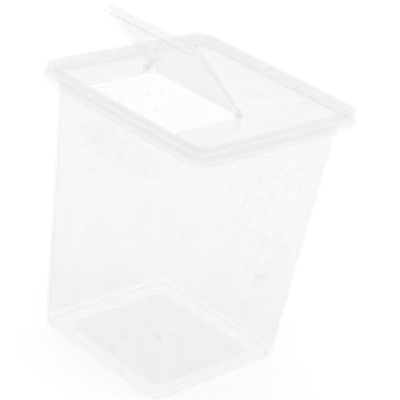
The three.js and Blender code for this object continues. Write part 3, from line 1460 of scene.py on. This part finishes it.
@dataclass
class Lid:
    """The lid: a recessed plate with an opening, inside a raised bead whose skirt sits on the rim.

    Sizes are in millimetres. A half is a distance from the middle, front and back are places along Y, and
    the bead's section takes in plate_edge of the flat plate. The opening's edges are rounded by mouth_edge,
    and mouth_bend of that is where the rounding bends.
    """

    hinge: Hinge
    plate_top: float = 390.0
    plate: float = 2.0
    crest: float = 400.0
    wall: float = 1.8
    bead_inner: float = 147.2
    bead_outer: float = 159.2
    bead_lean: float = 0.5
    bead_round: float = 2.2
    plate_edge: float = 2.0
    skirt_bottom: float = 384.3
    corner_centre: float = 128.5
    corner_steps: int = 14
    mouth_half: float = 84.0
    mouth_front: float = -141.0
    mouth_back: float = -6.5
    mouth_corner: float = 10.0
    mouth_corner_steps: int = 10
    mouth_edge: float = 0.6
    mouth_bend: float = 0.3
    plastic: ClearPlastic = LID_PLASTIC
    gate: Stud = Stud(4.5, 4.5, (36.0, 68.0, 389.6), ((0.0, 0.0, 0.7), (1.2, -0.2, 0.0), (1.6, 0.0, 0.5)))

    def ring(self, half: float, height: float) -> Ring:
        """Returns the outline at a half-width and height, given in millimetres."""
        centre = self.corner_centre
        return Ring(centre * MM, centre * MM, (half - centre) * MM, height * MM)

    def mouth_ring(self, height: float, wider: float) -> Ring:
        """Works out the opening's outline.

        Args:
            height: its height, in millimetres.
            wider: how far outside the opening it lies all round, in millimetres.

        Returns:
            The outline, in metres.
        """
        corner = self.mouth_corner
        reach_y = (self.mouth_back - self.mouth_front) / 2 - corner
        middle = (0.0, (self.mouth_back + self.mouth_front) / 2 * MM)
        return Ring((self.mouth_half - corner) * MM, reach_y * MM, (corner + wider) * MM, height * MM, middle)

    def bead_profile(self) -> list[tuple[float, float]]:
        """Rounds the bead's section.

        Returns:
            Half-width and height of its points, from the plate's upper face over the crest to its underside.
        """
        inner, outer, lean = self.bead_inner, self.bead_outer, self.bead_lean
        under = self.plate_top - self.plate
        channel = self.crest - self.wall
        start = inner - self.plate_edge
        return rounded_profile(
            (
                Knee(start, self.plate_top),
                Knee(inner, self.plate_top, 1.2),
                Knee(inner + lean, self.crest, self.bead_round),
                Knee(outer, self.crest, self.bead_round),
                Knee(outer + lean, self.skirt_bottom, 0.6),
                Knee(outer + lean - self.wall, self.skirt_bottom, 0.5),
                Knee(outer - self.wall, channel, 1.0),
                Knee(inner + self.wall + lean, channel, 1.0),
                Knee(inner + self.wall, under, 0.9),
                Knee(start, under),
            ),
            steps=4,
        )

    def build_shell(self) -> bpy.types.Object:
        """Models the lid in one closed skin.

        Returns:
            The lid.
        """
        piece = Workpiece("lid_shell")
        bead = OutlineDraw(piece, self.corner_steps)
        points = self.bead_profile()
        bead.begin(self.ring(*points[0]), keep_face=False)
        for half, height in points[1:]:
            bead.draw_to(self.ring(half, height))
        top, under, soft = self.plate_top, self.plate_top - self.plate, self.mouth_edge
        near = soft * self.mouth_bend
        mouth = OutlineDraw(piece, self.mouth_corner_steps)
        mouth.begin(self.mouth_ring(top, soft), keep_face=False)
        for height, wider in ((top - near, near), (top - soft, 0), (under + soft, 0), (under + near, near)):
            mouth.draw_to(self.mouth_ring(height, wider))
        mouth.draw_to(self.mouth_ring(under, soft))
        for height in (top, under):
            piece.pick(Grip.EDGES, lambda place: abs(place.z - height * MM) < 10 * TOUCH, open_only=True)
            bpy.ops.mesh.fill(use_beauty=True)
        made = piece.finish()
        Bench.smooth(made)
        return made

    def build_ears(self) -> tuple[bpy.types.Object, bpy.types.Object]:
        """Models the two hinge ears.

        Returns:
            The right-hand and the left-hand ear.
        """
        hinge = self.hinge
        reach = -(hinge.z - self.plate_top + hinge.ear_sunk)
        hole = hinge.pin_radius + hinge.pin_gap
        ear = Lug(hinge.ear_radius, reach, hinge.ear_start, hinge.ear_end, hole).build("hinge_ear")
        Bench.place(ear, hinge.on_lid())
        return mirrored_pair(ear, "hinge_ear")

    def build(self) -> None:
        """Builds and dresses the lid."""
        material = self.plastic.material()
        shell = dress(self.build_shell(), Body.LID, material)
        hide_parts("lid_frame")
        dress(self.gate.build("lid_gate_nub"), Body.LID, MARK_PLASTIC.material())
        for part in self.build_ears():
            dress(part, Body.LID, material)


@dataclass
class Flap:
    """The flap: a plate with a deep front lip, tapered side skirts and a tongue behind the hinge.

    Sizes are in millimetres. A reach, a start, a front and a back are distances from the hinge axis, and a
    depth is measured from the upper face. The rib inside the lip starts rib_sunk inside the lip's wall and
    rib_rise over its lower edge, with a stem and a nose that is drawn together by rib_taper.
    """

    hinge: Hinge
    half: float = 88.0
    reach: float = 143.6
    top: float = 7.3
    plate: float = 2.0
    corner: float = 10.0
    corner_steps: int = 10
    edge: float = 0.4
    lip_depth: float = 14.0
    lip_start: float = 140.4
    skirt_front: float = 124.0
    skirt_front_depth: float = 9.0
    skirt_back_depth: float = 3.5
    shoulder_back: float = 2.3
    tongue_half: float = 80.0
    tongue_back: float = 11.0
    tongue_depth: float = 5.0
    rib_half: float = 60.0
    rib_rise: float = 1.2
    rib_half_height: float = 0.9
    rib_sunk: float = 0.5
    rib_stem: float = 1.1
    rib_nose: float = 0.8
    rib_taper: tuple[float, float, float] = (0.99, 1.0, 0.35)
    rib_edge: float = 0.3
    plastic: ClearPlastic = FLAP_PLASTIC

    def build_panel(self) -> bpy.types.Object:
        """Models the closed flap about its hinge axis and turns it to its rest angle.

        Returns:
            The flap.
        """
        piece = Workpiece("flap_panel")
        under = (self.top - self.plate) * MM
        self._draw_plate(piece, under)
        self._pull_lips(piece, under)
        made = piece.finish()
        Bench.bevel(made, self.edge * MM, 3)
        Bench.smooth(made)
        Bench.place(made, self.hinge.on_flap())
        return made

    def _draw_plate(self, piece: Workpiece, under: float) -> None:
        """Draws the plate's outline, marks out its lips and gives it its thickness.

        Args:
            piece: the flap in the making.
            under: height of the plate's underside over the hinge axis, in metres.
        """
        length = self.reach + self.shoulder_back
        middle = Vector((0, (self.shoulder_back - self.reach) / 2 * MM, under))
        bpy.ops.mesh.primitive_plane_add(size=2, location=middle)
        piece.stretch((self.half * MM, length / 2 * MM, 1), middle)
        piece.pick(Grip.POINTS, lambda place: place.y < middle.y)
        piece.round_corners(self.corner * MM, self.corner_steps)
        piece.pick(Grip.FACES)
        bpy.ops.mesh.inset(thickness=self.plate * MM, use_even_offset=True)
        for distance in (self.lip_start, self.skirt_front, 0.0):
            piece.slice((0, -distance * MM, under), (0, 1, 0))
        for side in (-1, 1):
            piece.slice((side * self.tongue_half * MM, 0, under), (1, 0, 0))
        back = self.shoulder_back * MM
        piece.pick(Grip.EDGES, lambda at: abs(at.y - back) < TOUCH and abs(at.x) < self.tongue_half * MM)
        piece.pull_edges((0, (self.tongue_back - self.plate - self.shoulder_back) * MM, 0))
        piece.pull_edges((0, self.plate * MM, 0))
        piece.pick(Grip.FACES)
        piece.pull((0, 0, self.plate * MM))

    def _pull_lips(self, piece: Workpiece, under: float) -> None:
        """Pulls the front lip, the side skirts and the tongue's rib down from the plate's underside.

        Args:
            piece: the flap in the making.
            under: height of the plate's underside over the hinge axis, in metres.
        """

        def low(place: Vector) -> bool:
            """Says whether a place is on the plate's underside."""
            return abs(place.z - under) < TOUCH

        front, skirt = -self.lip_start * MM, -self.skirt_front * MM
        band_x, band_y = (self.half - self.plate) * MM, -(self.reach - self.plate) * MM
        corner_x = (self.half - self.corner) * MM
        corner_y = -(self.reach - self.corner) * MM

        def in_lip(place: Vector) -> bool:
            """Says whether a face belongs to the lip.

            Args:
                place: the middle of the face.

            Returns:
                Whether it lies outside the outline that is drawn one wall further in.
            """
            if not low(place) or place.y > front:
                return False
            if abs(place.x) > corner_x and place.y < corner_y:
                away = math.hypot(abs(place.x) - corner_x, place.y - corner_y)
                return away > (self.corner - self.plate) * MM
            return abs(place.x) > band_x or place.y < band_y

        piece.pick(Grip.FACES, in_lip)
        piece.pull((0, 0, -(self.lip_depth - self.plate) * MM))
        for side in (-1, 1):
            piece.pick(Grip.FACES, lambda at: low(at) and at.x * side > band_x and skirt < at.y < -TOUCH)
            piece.pull((0, 0, -(self.skirt_front_depth - self.plate) * MM))
        hanging = under - (self.skirt_front_depth - self.plate) * MM
        piece.pick(Grip.POINTS, lambda at: abs(at.z - hanging) < TOUCH and abs(at.y) < TOUCH)
        piece.shift((0, 0, (self.skirt_front_depth - self.skirt_back_depth) * MM))
        rib_start = (self.tongue_back - self.plate) * MM
        piece.pick(Grip.FACES, lambda at: low(at) and at.y > rib_start)
        piece.pull((0, 0, -(self.tongue_depth - self.plate) * MM))

    def build_catch(self) -> bpy.types.Object:
        """Models the catch rib inside the front lip.

        Returns:
            The rib.
        """
        piece = Workpiece("flap_catch_rib")
        height = self.top - self.lip_depth + self.rib_rise + self.rib_half_height
        place = Vector((0, -(self.reach - self.plate) * MM, height * MM))
        bpy.ops.mesh.primitive_plane_add(size=2, location=place, rotation=(QUARTER_TURN, 0, 0))
        piece.stretch((self.rib_half * MM, 1, self.rib_half_height * MM), place)
        piece.shift((0, -self.rib_sunk * MM, 0))
        piece.pull((0, self.rib_stem * MM, 0))
        piece.pull((0, self.rib_nose * MM, 0))
        piece.stretch(self.rib_taper, place)
        made = piece.finish()
        Bench.bevel(made, self.rib_edge * MM, angle=30.0)
        Bench.smooth(made)
        Bench.place(made, self.hinge.on_flap())
        return made

    def build_bosses(self) -> tuple[bpy.types.Object, bpy.types.Object]:
        """Models the lugs under the flap's shoulders.

        Returns:
            The right-hand and the left-hand lug.
        """
        hinge = self.hinge
        reach = self.top - hinge.boss_short
        boss = Lug(hinge.boss_radius, reach, hinge.boss_start, self.half).build("flap_boss")
        Bench.place(boss, hinge.on_flap())
        return mirrored_pair(boss, "flap_boss")

    def build_pins(self) -> tuple[bpy.types.Object, bpy.types.Object]:
        """Models the two pins.

        Returns:
            The right-hand and the left-hand pin.
        """
        pin = self.hinge.build_pin("flap_pin")
        Bench.place(pin, self.hinge.on_flap())
        return mirrored_pair(pin, "flap_pin")

    def build(self) -> None:
        """Builds and dresses the flap."""
        material = self.plastic.material()
        panel = dress(self.build_panel(), Body.FLAP, material)
        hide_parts("flap")
        for part in (self.build_catch(), *self.build_bosses(), *self.build_pins()):
            dress(part, Body.FLAP, material)


# ---------------------------------------------------------------- the studio


@dataclass(frozen=True)
class SoftBox:
    """A square soft light: where it is, how wide, how strong, and what it looks at."""

    name: str
    place: tuple[float, float, float]
    size: float
    power: float
    target: tuple[float, float, float] = (0.0, 0.0, 0.2)

    def build(self) -> None:
        """Adds the light."""
        data = bpy.data.lights.new(self.name, "AREA")
        data.size = self.size
        data.energy = self.power
        light = bpy.data.objects.new(self.name, data)
        bpy.context.scene.collection.objects.link(light)
        light.location = self.place
        towards = Vector(self.target) - Vector(self.place)
        light.rotation_euler = towards.to_track_quat("-Z", "Y").to_euler()


@dataclass
class Studio:
    """Pale floor, white surroundings, soft lights and the camera. Lengths are in metres.

    Attributes:
        camera_place: where the camera stands.
        camera_right: what is to its right.
        camera_up: what is above it.
        focal_length: its focal length, in millimetres.
        sensor_width: width of its sensor, in millimetres.
        sight: how far it sees.
        surroundings: strength of the white light from all round.
        floor_half: half the floor's width.
        clear_layers: how many clear skins light can pass through.
        lights: the soft lights.
    """

    camera_place: tuple[float, float, float] = (1.29639, -1.44341, 1.15594)
    camera_right: tuple[float, float, float] = (0.69038, 0.70577, 0.15893)
    camera_up: tuple[float, float, float] = (-0.4117, 0.20265, 0.8885)
    focal_length: float = 138.337
    sensor_width: float = 36.0
    sight: float = 60.0
    surroundings: float = 1.015
    floor_half: float = 9.0
    clear_layers: int = 32
    lights: tuple[SoftBox, ...] = (
        SoftBox("key_softbox", (-2.4, -0.6, 3.2), 3.0, 9.0),
        SoftBox("fill_softbox", (2.6, 1.6, 2.6), 3.0, 6.0),
    )

    def build_floor(self) -> None:
        """Adds the floor the bin stands on."""
        piece = Workpiece("floor")
        bpy.ops.mesh.primitive_plane_add(size=2, location=(0, 0, 0))
        piece.stretch((self.floor_half, self.floor_half, 1), Vector((0, 0, 0)))
        bpy.ops.mesh.subdivide(number_cuts=2)
        floor = piece.finish(outward=False)
        floor.data.materials.append(PaleFloor().material())

    def build_surroundings(self) -> None:
        """Lights the scene evenly from all round."""
        world = bpy.data.worlds.new("white_surroundings")
        world.use_nodes = True
        background = world.node_tree.nodes["Background"]
        background.inputs["Color"].default_value = (1.0, 1.0, 1.0, 1.0)
        background.inputs["Strength"].default_value = self.surroundings
        bpy.context.scene.world = world
        bpy.context.scene.view_settings.view_transform = "Standard"
        bpy.context.scene.cycles.transparent_max_bounces = self.clear_layers

    def build_camera(self) -> None:
        """Adds the camera."""
        data = bpy.data.cameras.new("camera")
        data.lens = self.focal_length
        data.sensor_width = self.sensor_width
        data.clip_end = self.sight
        camera = bpy.data.objects.new("camera", data)
        bpy.context.scene.collection.objects.link(camera)
        right, up = Vector(self.camera_right).normalized(), Vector(self.camera_up)
        back = right.cross(up).normalized()
        turn = Matrix((right, back.cross(right), back)).transposed().to_4x4()
        camera.matrix_world = Matrix.Translation(self.camera_place) @ turn
        bpy.context.scene.camera = camera

    def build(self) -> None:
        """Builds the whole studio."""
        self.build_floor()
        self.build_surroundings()
        for light in self.lights:
            light.build()
        self.build_camera()


def main() -> None:
    """Builds the studio and the bin."""
    logging.basicConfig(level=logging.INFO, format="%(name)s: %(message)s")
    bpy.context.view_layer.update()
    Studio().build()
    hinge = Hinge()
    Tub().build()
    Lid(hinge).build()
    Flap(hinge).build()


if __name__ == "__main__":
    main()
